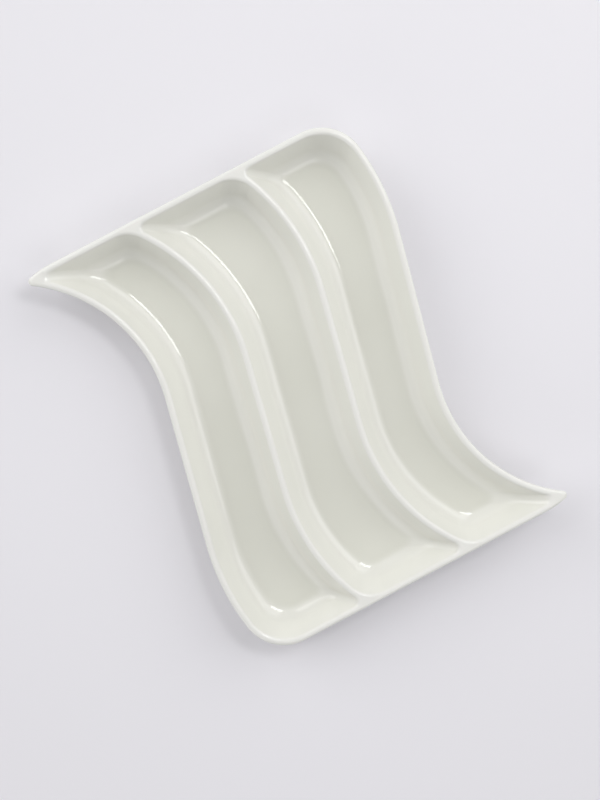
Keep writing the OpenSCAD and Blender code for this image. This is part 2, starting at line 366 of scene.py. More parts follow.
    def left_part(self, k: int, d: float, skin: Skin, stops: Sequence[tuple[float, int]]
                  ) -> list[np.ndarray]:
        """A contour up wave k, round its pointed corner and along the end.

        Args:
            k: Number of the wave, from the left.
            d: Inset from the crest lines.
            skin: Sheet of the wall.
            stops: Places along the end, each with the number of steps that lead to it.

        Returns:
            The points, in one array for each run of the contour.
        """
        wave = self.waves()[k]
        end, r = self.crest_end - d, wave.upper.r + d
        tip_r = self.tip_radius(d, k == 0, skin)
        tip, end_a, eased = self.pointed_corner(k, d, skin)
        ease, bend_r = (-self.ease_out, self.crest_end - self.ease_r), self.ease_r - d
        edge = wave.upper.centre - tip
        tip_a = math.atan2(edge[1], edge[0])
        leave, top = wave.leave_angle(), wave.upper.angle_to(tip)
        split = mix(leave, top, self.match_share(k, skin))
        runs = [
            arc_points(wave.upper.centre, r, leave, split, self.bend_steps, True),
            arc_points(wave.upper.centre, r, split, top, self.match_steps),
            arc_points(tip, tip_r, tip_a + 2 * math.pi if tip_a < 0 else tip_a, end_a,
                       self.corner_steps),
        ]
        at, bend = tip[0], bend_r * (end_a - math.pi / 2) if eased else 0.0
        for x, steps in stops:
            start = ease[0] if bend > 0 else at
            s = np.linspace(0.0, bend + x - start, steps + 1)[1:]
            a = end_a - s / bend_r
            curved = np.array(ease) + bend_r * np.stack([np.cos(a), np.sin(a)], axis=1)
            level = np.stack([start + s - bend, np.full(len(s), end)], axis=1)
            runs.append(np.where(((s < bend) & (bend > 0))[:, None], curved, level))
            at, bend = x, 0.0
        return runs

    def right_part(self, k: int, d: float) -> list[np.ndarray]:
        """A contour round the wide corner, down wave k and along its middle straight.

        Args:
            k: Number of the wave, from the left.
            d: Inset from the crest lines.

        Returns:
            The points, in one array for each run of the contour.
        """
        wave = self.waves()[k]
        r = self.wide_radius(d, k == 3)
        centre, turn = self.wide_corner_at(wave, d, r)
        leave, s = wave.leave_angle(), wave.upper.r - d
        bend = arc_points(wave.upper.centre, s, turn, leave, self.bend_steps)
        after = wave.turned()
        other = -(after.upper.centre
                  + (after.upper.r + d) * np.array([math.cos(leave), math.sin(leave)]))
        share = np.linspace(0.0, 1.0, self.straight_steps + 1)[1:-1, None]
        return [
            arc_points(centre, r, math.pi / 2, turn, self.corner_steps + self.match_steps),
            bend, bend[-1] + (other - bend[-1]) * share,
        ]

    def well_half(self, i: int, d: float, skin: Skin) -> list[np.ndarray]:
        """The upper half of a well's contour, clockwise as seen from above.

        Args:
            i: Number of the well, from the left.
            d: Inset from the crest lines.
            skin: Sheet of the wall.

        Returns:
            The points, in one array for each run of the contour.
        """
        wide = self.wide_corner_at(self.waves()[i + 1], d, self.wide_radius(d, i == 2))[0]
        return self.left_part(i, d, skin, [(wide[0], self.end_steps)]) \
            + self.right_part(i + 1, d)

    def well_runs(self, i: int, d: float, skin: Skin) -> list[np.ndarray]:
        """The runs of well i's whole contour at inset d."""
        return self.well_half(i, d, skin) + [-run for run in self.well_half(2 - i, d, skin)]

    def well_ring(self, i: int, d: float, skin: Skin) -> np.ndarray:
        """Well i's contour at inset d."""
        return np.concatenate(self.well_runs(i, d, skin))

    def across_ridge(self) -> np.ndarray:
        """Places of a ridge's points across it.

        Returns:
            The share of the way across at which each of them lies.
        """
        n = self.ridge_steps
        crest = [self.crest_r * math.sin(self.slope_rad * k / n) for k in range(n, 0, -1)]
        half = [(self.seam - d) / (2 * self.seam)
                for d in [self.seam, self.flank_row, *crest]]
        return np.array([*half, 0.5, *[1 - share for share in reversed(half)]])

    def ridge_edges(self, i: int, skin: Skin) -> tuple[np.ndarray, np.ndarray]:
        """The two edges of ridge i, from the top down.

        Args:
            i: Number of the ridge, between wells i and i + 1.
            skin: Sheet of the wall.

        Returns:
            The left edge, along well i, and the right edge, along well i + 1.
        """
        # Of a well's fourteen runs, 3 and 10 lie along its ends. Runs 4 to 9 lead down
        # its right side and 11 to 2 up its left side, with the corners.
        left = self.well_runs(i, self.seam, skin)
        right = self.well_runs(i + 1, self.seam, skin)
        down = np.concatenate([left[3][-1:], *left[4:10]])
        up = np.concatenate([right[10][-1:], *right[11:], *right[:3]])
        return down, up[::-1]

    def rim_ring(self, d: float, skin: Skin) -> tuple[np.ndarray, np.ndarray]:
        """The contour of the rim at inset d.

        Args:
            d: Inset from the crest lines.
            skin: Sheet of the wall.

        Returns:
            The points, and for each whether it lies at the end of a ridge.
        """
        stops: list[tuple[float, int]] = []
        marks = [False] * (self.bend_steps + 1 + self.match_steps + self.corner_steps)
        for i in (0, 1):
            down, up = self.ridge_edges(i, skin)
            across = self.across_ridge()
            stops.append((down[0][0], self.end_steps))
            marks += [False] * self.end_steps
            stops += [(mix(down[0][0], up[0][0], share), 1) for share in across[1:]]
            marks += [True] * (len(across) - 2) + [False]
        wide = self.wide_corner_at(self.waves()[3], d, self.wide_radius(d, True))[0]
        stops.append((wide[0], self.end_steps))
        half = np.concatenate(self.left_part(0, d, skin, stops) + self.right_part(3, d))
        marks += [False] * (len(half) - len(marks))
        return np.concatenate([half, -half]), np.array(marks + marks)

    def groove_inset(self, t: np.ndarray) -> np.ndarray:
        """Inset whose height on the outside of the wall is the groove's under a ridge.

        Args:
            t: Distance from the middle of the groove, in millimetres.

        Returns:
            The inset for each point: the groove has a round roof, as the crest has.
        """
        r, a = self.crest_r, self.slope_rad
        near = np.clip(t, 0.0, self.crest_edge)
        roof = (r / math.cos(a) - np.sqrt(r * r - near * near)) / math.tan(a)
        return np.where(t < self.crest_edge, roof, t)


# Node trees


@dataclass
class TreeMaker:
    """Lays down and joins the nodes of one node tree."""

    tree: bpy.types.NodeTree

    def node(self, kind: str, **settings: object) -> bpy.types.Node:
        """Adds a node.

        Args:
            kind: Type of the node.
            settings: Values for its properties, by name.

        Returns:
            The node.
        """
        made = self.tree.nodes.new(kind)
        for name, value in settings.items():
            setattr(made, name, value)
        return made

    def join(self, source: object, target: bpy.types.NodeSocket) -> None:
        """Links a socket to another, or gives the other a plain value.

        Args:
            source: The socket or the value.
            target: The socket that takes it.
        """
        if isinstance(source, bpy.types.NodeSocket):
            self.tree.links.new(source, target)
        else:
            target.default_value = source

    def math(self, operation: str, *values: object) -> bpy.types.NodeSocket:
        """Adds a Math node.

        Args:
            operation: What it does.
            values: The sockets or numbers it takes.

        Returns:
            The socket of its result.
        """
        made = self.node("ShaderNodeMath", operation=operation)
        for value, target in zip(values, made.inputs):
            self.join(value, target)
        return made.outputs[0]

    def pick(self, test: bpy.types.NodeSocket, yes: object, no: object
             ) -> bpy.types.NodeSocket:
        """One of two numbers: yes where test is one, no where it is zero."""
        return self.math("ADD", self.math("MULTIPLY", test, yes),
                         self.math("MULTIPLY", self.math("SUBTRACT", 1.0, test), no))

    def ramp(self, value: bpy.types.NodeSocket, start: float, stop: float
             ) -> bpy.types.NodeSocket:
        """Eases from zero to one as a value goes from start to stop.

        Args:
            value: Socket of the value.
            start: Value at which the share is zero.
            stop: Value at which it is one, above start or below it.

        Returns:
            The socket of the share.
        """
        low, high = sorted((start, stop))
        made = self.node("ShaderNodeMapRange", interpolation_type="SMOOTHSTEP")
        self.join(value, made.inputs["Value"])
        made.inputs["From Min"].default_value = low
        made.inputs["From Max"].default_value = high
        made.inputs["To Min"].default_value = float(start > stop)
        made.inputs["To Max"].default_value = float(start < stop)
        return made.outputs[0]

    def socket(self, name: str, kind: str, way: str = "INPUT",
               value: object = None) -> None:
        """Adds a socket to the tree's interface.

        Args:
            name: Name of the socket.
            kind: Type of the socket.
            way: INPUT or OUTPUT.
            value: Its value at first, if it is given one.
        """
        made = self.tree.interface.new_socket(name=name, in_out=way, socket_type=kind)
        if value is not None:
            made.default_value = value


def found(sockets: object, name: str) -> bpy.types.NodeSocket:
    """The socket in use of that name."""
    return next(s for s in sockets if s.name == name and s.enabled)


class ShapeTree(TreeMaker):
    """A Geometry Nodes tree that shapes a piece and gives it its finish."""

    @classmethod
    def start(cls, name: str, *sizes: str) -> "ShapeTree":
        """Starts a tree that takes a geometry, some named sizes and a finish.

        Args:
            name: Name of the tree.
            sizes: Names of its sizes.

        Returns:
            The tree.
        """
        t = cls(bpy.data.node_groups.new(name, "GeometryNodeTree"))
        t.socket("Geometry", "NodeSocketGeometry", "OUTPUT")
        t.socket("Geometry", "NodeSocketGeometry")
        for size in sizes:
            t.socket(size, "NodeSocketFloat")
        t.socket("Finish", "NodeSocketMaterial")
        return t

    def end(self, shape: bpy.types.NodeSocket, height: bpy.types.NodeSocket,
            finish: bpy.types.NodeSocket) -> None:
        """Ends the tree with the shape lifted, smooth, made real and finished.

        Args:
            shape: Socket of the shape.
            height: Socket of each point's lift.
            finish: Socket of the finish.
        """
        lift = self.node("ShaderNodeCombineXYZ")
        self.join(height, lift.inputs["Z"])
        place = self.node("GeometryNodeSetPosition")
        self.join(shape, place.inputs["Geometry"])
        self.join(lift.outputs[0], place.inputs["Offset"])
        smooth = self.node("GeometryNodeSetShadeSmooth")
        self.join(place.outputs[0], smooth.inputs[0])
        real = self.node("GeometryNodeRealizeInstances")
        self.join(smooth.outputs[0], real.inputs[0])
        dress = self.node("GeometryNodeSetMaterial")
        self.join(real.outputs[0], dress.inputs["Geometry"])
        self.join(finish, dress.inputs["Material"])
        self.join(dress.outputs[0], self.node("NodeGroupOutput").inputs[0])

    def apply(self, piece: bpy.types.Object, values: dict[str, object]) -> None:
        """Runs the tree on a piece and keeps the result as its plain mesh.

        Args:
            piece: The object whose mesh the tree takes.
            values: The tree's sizes and its finish, by name.
        """
        modifier = piece.modifiers.new(self.tree.name, "NODES")
        modifier.node_group = self.tree
        for item in self.tree.interface.items_tree:
            if item.name in values:
                modifier[item.identifier] = values[item.name]
        bpy.context.view_layer.update()
        graph = bpy.context.evaluated_depsgraph_get()
        plain = bpy.data.meshes.new_from_object(
            piece.evaluated_get(graph), preserve_all_data_layers=True, depsgraph=graph)
        piece.modifiers.clear()
        laid_out, piece.data = piece.data, plain
        plain.name = piece.name
        bpy.data.meshes.remove(laid_out)


def raised_porcelain_tree() -> ShapeTree:
    """Builds the tree that lifts a flat layout of the tray to its real heights.

    Each point carries its inset from the crest lines, in metres, and its skin, 0 for the
    top and 1 for the underside. The wall has a round crest, straight flanks of one
    slope, and fillets with a shared centre above the edge of the floor.

    Returns:
        The tree.
    """
    t = ShapeTree.start("Raised Porcelain", "Height", "Wall", "Slope", "Fillet", "Foot")
    given = t.node("NodeGroupInput").outputs
    height, wall, slope = given["Height"], given["Wall"], given["Slope"]
    fillet, foot = given["Fillet"], given["Foot"]
    attribute = {}
    for name in ("inset", "skin"):
        reader = t.node("GeometryNodeInputNamedAttribute", data_type="FLOAT")
        reader.inputs["Name"].default_value = name
        attribute[name] = found(reader.outputs, "Attribute")
    d, under = attribute["inset"], attribute["skin"]
    r = t.math("MULTIPLY", wall, 0.5)
    sine, cosine, tangent = (t.math(op, slope) for op in ("SINE", "COSINE", "TANGENT"))
    crest_z = t.math("SUBTRACT", height, r)
    rise = t.math("DIVIDE", r, cosine)
    fillet_z = t.math("ADD", t.math("ADD", foot, wall), fillet)
    drop = t.math("SUBTRACT", t.math("ADD", crest_z, rise),
                  t.math("SUBTRACT", fillet_z, t.math("MULTIPLY", fillet, cosine)))
    floor_d = t.math("ADD", t.math("MULTIPLY", fillet, sine),
                     t.math("DIVIDE", drop, tangent))
    # The sign turns the rule over for the underside: its fillet is wider by the wall.
    sign = t.math("SUBTRACT", 1.0, t.math("MULTIPLY", under, 2.0))
    hollow = t.math("ADD", fillet, t.math("MULTIPLY", under, wall))

    def round_height(radius: bpy.types.NodeSocket, run: bpy.types.NodeSocket
                     ) -> bpy.types.NodeSocket:
        """Height of a round over its centre.

        Args:
            radius: Radius of the round.
            run: Level distance from the centre.

        Returns:
            The socket of the height.
        """
        left = t.math("SUBTRACT", t.math("MULTIPLY", radius, radius),
                      t.math("MULTIPLY", run, run))
        return t.math("SQRT", t.math("MAXIMUM", left, 0.0))

    on_crest = t.math("MULTIPLY_ADD", sign, round_height(r, d), crest_z)
    on_wall = t.math("SUBTRACT", t.math("MULTIPLY_ADD", sign, rise, crest_z),
                     t.math("MULTIPLY", tangent, d))
    short = t.math("SUBTRACT", floor_d, d)
    on_fillet = t.math("SUBTRACT", fillet_z, round_height(hollow, short))
    on_floor = t.math("MULTIPLY_ADD", t.math("SUBTRACT", 1.0, under), wall, foot)
    past_crest = t.math("GREATER_THAN", d,
                        t.math("MULTIPLY", sign, t.math("MULTIPLY", r, sine)))
    past_wall = t.math("LESS_THAN", short, t.math("MULTIPLY", hollow, sine))
    past_fillet = t.math("LESS_THAN", short, 0.0)
    z = t.pick(past_crest, t.pick(past_wall, t.pick(past_fillet, on_floor, on_fillet),
                                  on_wall), on_crest)
    t.end(given["Geometry"], z, given["Finish"])
    return t


def foot_ring_tree() -> ShapeTree:
    """Builds the tree that sweeps the foot's section along the middle line of a ring.

    The section is wider where it leaves the underside, and its resting edges are
    rounded. It reaches a little into the underside, so that no gap shows.

    Returns:
        The tree.
    """
    t = ShapeTree.start("Foot Ring", "Height", "Width", "Taper", "Rounding", "Overlap")
    given = t.node("NodeGroupInput").outputs
    deep = t.math("ADD", given["Height"], given["Overlap"])
    section = t.node("GeometryNodeCurvePrimitiveQuadrilateral", mode="TRAPEZOID")
    t.join(deep, section.inputs["Height"])
    section.inputs["Offset"].default_value = 0.0
    t.join(given["Width"], section.inputs["Top Width"])
    t.join(t.math("MULTIPLY_ADD", given["Taper"], -2.0, given["Width"]),
           section.inputs["Bottom Width"])
    rounded = t.node("GeometryNodeFilletCurve", mode="POLY")
    t.join(section.outputs[0], rounded.inputs["Curve"])
    found(rounded.inputs, "Count").default_value = ROUNDING_STEPS
    t.join(given["Rounding"], rounded.inputs["Radius"])
    line = t.node("GeometryNodeMeshToCurve")
    t.join(given["Geometry"], line.inputs["Mesh"])
    upright = t.node("GeometryNodeSetCurveNormal", mode="Z_UP")
    t.join(line.outputs[0], upright.inputs["Curve"])
    sweep = t.node("GeometryNodeCurveToMesh")
    t.join(upright.outputs[0], sweep.inputs["Curve"])
    t.join(rounded.outputs[0], sweep.inputs["Profile Curve"])
    t.end(sweep.outputs[0], t.math("MULTIPLY", deep, 0.5), given["Finish"])
    return t


# Finishes


def fired_surface_group() -> bpy.types.NodeTree:
    """Builds the effect that every fired surface of the tray has.

    A slow drift of tone, as glaze and clay have from thick to thin, a fine unevenness
    for the bump, and a few pinhole specks.

    Returns:
        The shader node group.
    """
    tree = bpy.data.node_groups.new("Fired Surface", "ShaderNodeTree")
    t = TreeMaker(tree)
    for name, value in (("Drift Scale", 14.0), ("Grain Scale", 260.0),
                        ("Speck Scale", 70.0), ("Speck Size", 0.05)):
        t.socket(name, "NodeSocketFloat", value=value)
    for name in ("Drift", "Grain", "Specks"):
        t.socket(name, "NodeSocketFloat", "OUTPUT")
    given = t.node("NodeGroupInput").outputs
    out = t.node("NodeGroupOutput").inputs
    place = t.node("ShaderNodeTexCoord").outputs["Object"]
    for name, detail in (("Drift", 2.0), ("Grain", 3.0)):
        noise = t.node("ShaderNodeTexNoise")
        noise.inputs["Detail"].default_value = detail
        t.join(place, noise.inputs["Vector"])
        t.join(given[f"{name} Scale"], noise.inputs["Scale"])
        t.join(noise.outputs[0], out[name])
    cells = t.node("ShaderNodeTexVoronoi")
    t.join(place, cells.inputs["Vector"])
    t.join(given["Speck Scale"], cells.inputs["Scale"])
    chance = t.node("ShaderNodeSeparateColor")
    t.join(cells.outputs["Color"], chance.inputs[0])
    near = t.node("ShaderNodeMapRange", interpolation_type="SMOOTHSTEP")
    t.join(cells.outputs["Distance"], near.inputs["Value"])
    t.join(given["Speck Size"], near.inputs["From Max"])
    near.inputs["To Min"].default_value = 1.0
    near.inputs["To Max"].default_value = 0.0
    rare = t.math("GREATER_THAN", chance.outputs[0], SPECKED_ABOVE)
    t.join(t.math("MULTIPLY", near.outputs[0], rare), out["Specks"])
    return tree


@dataclass(frozen=True)
class PorcelainFinish:
    """Warm white glaze over porcelain, all over a piece or wiped off its foot.

    Heights, of the glaze line, of where the painted shade of the well floors comes in and
    of where the glaze thins, are in millimetres above the rest. The ripple is in metres.
    """

    name: str
    fired: bpy.types.NodeTree
    glazing: Glazing = Glazing.ALL_OVER
    glaze: tuple[float, float, float] = (0.802, 0.800, 0.748)
    # Painted shade: a darker, yellower tone laid on the low well floors.
    floor_shade: tuple[float, float, float] = (0.716, 0.716, 0.650)
    thin: tuple[float, float, float] = (0.800, 0.796, 0.762)
    biscuit: tuple[float, float, float] = (0.700, 0.665, 0.580)
    speck: tuple[float, float, float] = (0.50, 0.46, 0.38)
    speck_share: float = 0.35
    refraction: float = 1.5
    gloss: float = 0.02
    gloss_drift: float = 0.04
    bare_roughness: float = 0.72
    glaze_line: float = 0.9
    line_blur: float = 0.15
    line_wander: float = 0.4
    # Heights at which the painted shade of the floors starts and reaches full strength.
    floor_shade_from: float = 8.7
    floor_shade_to: float = 7.3
    thin_from: float = 27.6
    thin_to: float = 29.6
    wander: float = 1.2
    ripple: float = 0.00003
    grain_share: float = 0.04

    def make(self) -> bpy.types.Material:
        """Builds the material.

        Returns:
            The material, with its pattern on Object coordinates.
        """
        material = bpy.data.materials.new(self.name)
        material.use_nodes = True
        t = TreeMaker(material.node_tree)
        shader = material.node_tree.nodes["Principled BSDF"]
        shader.inputs["IOR"].default_value = self.refraction
        fired = t.node("ShaderNodeGroup", node_tree=self.fired).outputs
        drift, grain = fired["Drift"], fired["Grain"]
        # A little of the drift is added, so that no edge of a tone is straight.
        shift = t.math("MULTIPLY", t.math("SUBTRACT", drift, 0.5), self.wander * MM)
        height = t.math("ADD", self.height_above_rest(t), shift)
        # Painted shade: the tone darkens over the low part of each well, towards its floor.
        deep = t.ramp(height, self.floor_shade_from * MM, self.floor_shade_to * MM)
        bare_crest = t.ramp(height, self.thin_from * MM, self.thin_to * MM)
        tone = self.over(t, deep, self.glaze, self.floor_shade)
        tone = self.over(t, bare_crest, tone, self.thin)
        specks = t.math("MULTIPLY", fired["Specks"], self.speck_share)
        colour = self.over(t, specks, tone, self.speck)
        rough = t.math("MULTIPLY_ADD", drift, self.gloss_drift, self.gloss)
        relief = t.math("MULTIPLY_ADD", grain, self.grain_share, drift)
        if self.glazing is Glazing.FOOT_WIPED:
            bare = self.bare_mask(t, grain)
            colour = self.over(t, bare, colour, self.biscuit)
            rough = t.pick(bare, self.bare_roughness, rough)
        t.join(colour, shader.inputs["Base Color"])
        t.join(rough, shader.inputs["Roughness"])
        bump = t.node("ShaderNodeBump")
        bump.inputs["Distance"].default_value = self.ripple
        t.join(relief, bump.inputs["Height"])
        t.join(bump.outputs[0], shader.inputs["Normal"])
        return material

    def height_above_rest(self, t: TreeMaker) -> bpy.types.NodeSocket:
        """Height of a point above the face that the tray rests on.

        Args:
            t: Maker of the material's nodes.

        Returns:
            The socket of the height, in metres.
        """
        split = t.node("ShaderNodeSeparateXYZ")
        t.join(t.node("ShaderNodeTexCoord").outputs["Object"], split.inputs[0])
        return split.outputs["Z"]

    def over(self, t: TreeMaker, share: bpy.types.NodeSocket, under: object,
             colour: tuple[float, float, float]) -> bpy.types.NodeSocket:
        """Lays a plain colour over another colour.

        Args:
            t: Maker of the material's nodes.
            share: Socket of how much of the plain colour shows.
            under: The colour below it, or that colour's socket.
            colour: The plain colour.

        Returns:
            The socket of the result.
        """
        node = t.node("ShaderNodeMix", data_type="RGBA")
        t.join(share, node.inputs[0])
        t.join((*under, 1.0) if isinstance(under, tuple) else under, node.inputs[6])
        node.inputs[7].default_value = (*colour, 1.0)
        return node.outputs[2]

    def bare_mask(self, t: TreeMaker, grain: bpy.types.NodeSocket) -> bpy.types.NodeSocket:
        """Finds the wiped resting face of the foot.

        Args:
            t: Maker of the material's nodes.
            grain: Socket of the fine unevenness, which the glaze line follows.

        Returns:
            The socket of the mask: one on the bare face, zero where the glaze stays.
        """
        ragged = t.math("MULTIPLY_ADD", grain, self.line_wander * MM,
                        self.height_above_rest(t))
        return t.ramp(ragged, (self.glaze_line + self.line_blur) * MM, self.glaze_line * MM)


# Pieces of the tray


@dataclass
class Layout:
    """A mesh laid out flat, with the inset and the skin of each of its points."""

    xy: list[np.ndarray] = field(default_factory=list)
    inset: list[np.ndarray] = field(default_factory=list)
    skin: list[np.ndarray] = field(default_factory=list)
    faces: list[Sequence[int]] = field(default_factory=list)
    sharp: set[frozenset[int]] = field(default_factory=set)
    count: int = 0

    def add(self, xy: np.ndarray, inset: np.ndarray | float, skin: Skin) -> int:
        """Adds a row of points.

        Args:
            xy: Place of each point, in millimetres.
            inset: Inset of each point or of all, in millimetres.
            skin: Sheet of the wall that the row lies on.

        Returns:
            Number of the row's first point.
        """
        first = self.count
        self.xy.append(xy)
        self.inset.append(np.broadcast_to(inset, len(xy)).astype(float))
        self.skin.append(np.full(len(xy), skin.value))
        self.count += len(xy)
        return first

    def bridge(self, a: int, b: int, n: int) -> None:
        """Adds the faces between two closed rows.

        Args:
            a: First point of one row.
            b: First point of the other.
            n: Number of points in each.
        """
        for j in range(n):
            k = (j + 1) % n
            self.faces.append((a + j, b + j, b + k, a + k))

    def cap(self, first: int, n: int, turned: bool) -> None:
        """Adds one flat face across a closed row, turned to face the other way or not."""
        row = range(first, first + n)
        self.faces.append(tuple(reversed(row)) if turned else tuple(row))

    def crease(self, points: Sequence[int], closed: bool = True) -> None:
        """Keeps the shading of two skins apart along a row of points.

        Args:
            points: The row.
            closed: Whether its last point is joined to its first.
        """
        last = len(points) if closed else len(points) - 1
        for j in range(last):
            self.sharp.add(frozenset((points[j], points[(j + 1) % len(points)])))

    def build(self, name: str) -> bpy.types.Object:
        """Makes the flat mesh object.

        Args:
            name: Name of the piece.

        Returns:
            The object, linked to the scene.
        """
        flat = np.concatenate(self.xy) * MM
        points = np.column_stack([flat, np.zeros(len(flat))])
        mesh = bpy.data.meshes.new(name)
        mesh.from_pydata(points.tolist(), [], self.faces)
        mesh.update(calc_edges=True)
        for label, rows, scale in (("inset", self.inset, MM), ("skin", self.skin, 1.0)):
            layer = mesh.attributes.new(label, "FLOAT", "POINT")
            layer.data.foreach_set("value", np.concatenate(rows) * scale)
        for edge in mesh.edges:
            edge.use_edge_sharp = frozenset(edge.vertices) in self.sharp
        return placed(name, mesh)


@dataclass(frozen=True)
class PorcelainBody:
    """The glazed porcelain: three wells, the rim band and two divider ridges.

    Steps lead down a well's wall, over the inner and the outer half of the rim's round
    and round its lip. The rows under it are given by their insets.
    """

    plan: TrayPlan
    raiser: ShapeTree
    glaze: bpy.types.Material
    wall_steps: int = 4
    floor_margin: float = 0.2
    crest_steps: int = 9
    brow_steps: int = 14
    under_rows: tuple[float, ...] = (2.0, 1.0, 0.0, -1.0, -1.7)
    lip_steps: int = 4

    def wall_insets(self, skin: Skin) -> list[float]:
        """Rows of a well, from the seam to just past the floor's edge.

        Args:
            skin: Sheet of the wall.

        Returns:
            The inset of each row.
        """
        p = self.plan
        r = p.fillet + (p.wall if skin is Skin.UNDERSIDE else 0.0)
        edge = p.floor_inset - r * math.sin(p.slope_rad)
        wall = [mix(p.seam, edge, k / self.wall_steps) for k in range(self.wall_steps)]
        bend = [p.floor_inset - r * math.sin(p.slope_rad * (1 - k / p.fillet_steps))
                for k in range(p.fillet_steps + 1)]
        return wall + bend + [p.floor_inset + self.floor_margin]

    def well(self, i: int, name: str) -> bpy.types.Object:
        """Builds the shell of well i: its wall and floor, inside and underside.

        Args:
            i: Number of the well, from the left.
            name: Name of the piece.

        Returns:
            The piece.
        """
        made = Layout()
        under = [made.add(self.plan.well_ring(i, d, Skin.UNDERSIDE), d, Skin.UNDERSIDE)
                 for d in reversed(self.wall_insets(Skin.UNDERSIDE))]
        top = [made.add(self.plan.well_ring(i, d, Skin.TOP), d, Skin.TOP)
               for d in self.wall_insets(Skin.TOP)]
        rows, n = under + top, top[1] - top[0]
        for a, b in zip(rows, rows[1:]):
            made.bridge(a, b, n)
        made.cap(rows[0], n, False)
        made.cap(rows[-1], n, True)
        made.crease(range(under[-1], under[-1] + n))
        made.crease(range(top[0], top[0] + n))
        return self.raised(made, name)

    def ridge(self, i: int, name: str) -> bpy.types.Object:
        """Builds the ridge between wells i and i + 1, with the web at each of its ends.

        Args:
            i: Number of the ridge, from the left.
            name: Name of the piece.

        Returns:
            The piece.
        """
        p, made = self.plan, Layout()
        across = p.across_ridge()
        sheets = []
        for skin in Skin:
            left, right = p.ridge_edges(i, skin)
            loops = [p.well_ring(k, p.seam, skin) for k in (i, i + 1)]
            grid = left[:, None] + (right - left)[:, None] * across[None, :, None]
            inset = p.seam - distance_to_loops(grid.reshape(-1, 2), loops)
            inset = np.maximum(inset, 0.0)
            if skin is Skin.UNDERSIDE:
                inset = p.groove_inset(inset)
            sheets.append((grid, inset.reshape(grid.shape[:2])))
        m, sections = len(across), []
        for (top, top_d), (low, low_d) in zip(zip(*sheets[0]), zip(*sheets[1])):
            first = made.add(top, top_d, Skin.TOP)
            made.add(low[::-1], low_d[::-1], Skin.UNDERSIDE)
            sections.append(first)
        for a, b in zip(sections, sections[1:]):
            made.bridge(a, b, 2 * m)
        made.cap(sections[0], 2 * m, False)
        made.cap(sections[-1], 2 * m, True)
        for k in (0, m - 1, m, 2 * m - 1):
            made.crease([s + k for s in sections], closed=False)
        for s in (sections[0], sections[-1]):
            made.crease(range(s, s + 2 * m))
        return self.raised(made, name)

    def rim(self, name: str) -> bpy.types.Object:
        """Builds the rim band, from the wells over the crest and down the outer wall.

        Args:
            name: Name of the piece.

        Returns:
            The piece.
        """
        p, made = self.plan, Layout()
        crest = [p.crest_r * math.sin(p.slope_rad * k / self.crest_steps)
                 for k in range(self.crest_steps, 0, -1)]
        outer = [-p.crest_r * math.sin(math.pi / 2 * k / self.brow_steps)
                 for k in range(self.brow_steps + 1)]
        top = [p.seam, p.flank_row, *crest, *outer]
        turn = math.pi - p.slope_rad
        under = [p.seam, *self.under_rows]
        under += [-p.crest_r * math.sin(mix(turn, math.pi / 2, k / self.lip_steps))
                  for k in range(self.lip_steps)]
        rows = []
        for skin, insets in ((Skin.UNDERSIDE, under), (Skin.TOP, reversed(top))):
            loops = [p.well_ring(k, p.seam, skin) for k in range(len(SIDES))]
            for d in insets:
                ring, marks = p.rim_ring(d, skin)
                inset = np.full(len(ring), d)
                if d >= 0:
                    own = np.maximum(p.seam - distance_to_loops(ring[marks], loops), 0.0)
                    if skin is Skin.UNDERSIDE:
                        own = np.minimum(d, p.groove_inset(own))
                    inset[marks] = own
                rows.append(made.add(ring, inset, skin))
        n = rows[1] - rows[0]
        for a, b in zip(rows, rows[1:] + rows[:1]):
            made.bridge(a, b, n)
        for first in (rows[0], rows[-1]):
            made.crease(range(first, first + n))
        return self.raised(made, name)

    def raised(self, made: Layout, name: str) -> bpy.types.Object:
        """Lifts a layout to its real heights and glazes it.

        Args:
            made: The flat layout.
            name: Name of the piece.

        Returns:
            The piece.
        """
        p, piece = self.plan, made.build(name)
        self.raiser.apply(piece, {
            "Height": p.height * MM, "Wall": p.wall * MM, "Slope": p.slope_rad,
            "Fillet": p.fillet * MM, "Foot": p.foot * MM, "Finish": self.glaze})
        return piece


@dataclass(frozen=True)
class FootRings:
    """The three rings that the tray rests on, glazed but for their resting faces.

    A ring lies edge_gap inside the edge of its floor. It is taper narrower on each side
    at the rest, and reaches into the underside by the overlap, all in millimetres.
    """

    plan: TrayPlan
    sweeper: ShapeTree
    finish: bpy.types.Material
    width: float = 4.5
    edge_gap: float = 0.5
    taper: float = 0.7
    rounding: float = 0.6
    overlap: float = 0.4
    tip_radius: float = 4.0
    wide_radius: float = 7.0

    def ring(self, i: int, name: str) -> bpy.types.Object:
        """Builds the foot ring of well i.

        Args:
            i: Number of the well, from the left.
            name: Name of the piece.

        Returns:
            The piece.
        """
        tip, wide = self.tip_radius, self.wide_radius
        rounded = replace(
            self.plan, tip_corner=tip, divider_corner=tip, tip_floor=tip,
            wide_corner=wide, wide_floor=wide, outer_corner=wide, outer_floor=wide)
        d = self.plan.floor_inset + self.edge_gap + self.width / 2
        line = rounded.well_ring(i, d, Skin.TOP) * MM
        n = len(line)
        mesh = bpy.data.meshes.new(name)
        mesh.from_pydata([(x, y, 0.0) for x, y in line.tolist()],
                         [(j, (j + 1) % n) for j in range(n)], [])
        piece = placed(name, mesh)
        self.sweeper.apply(piece, {
            "Height": self.plan.foot * MM, "Width": self.width * MM,
            "Taper": self.taper * MM, "Rounding": self.rounding * MM,
            "Overlap": self.overlap * MM, "Finish": self.finish})
        return piece


# Studio


@dataclass(frozen=True)
class Softbox:
    """A soft lamp, placed by where it stands as the camera sees it.

    The bearing is counter-clockwise from the camera's right and the zenith is from
    straight up, in degrees. The distance and the size are in metres, the power in watts.
    """

    name: str
    bearing: float
    zenith: float
    distance: float
    size: tuple[float, float]
    power: float


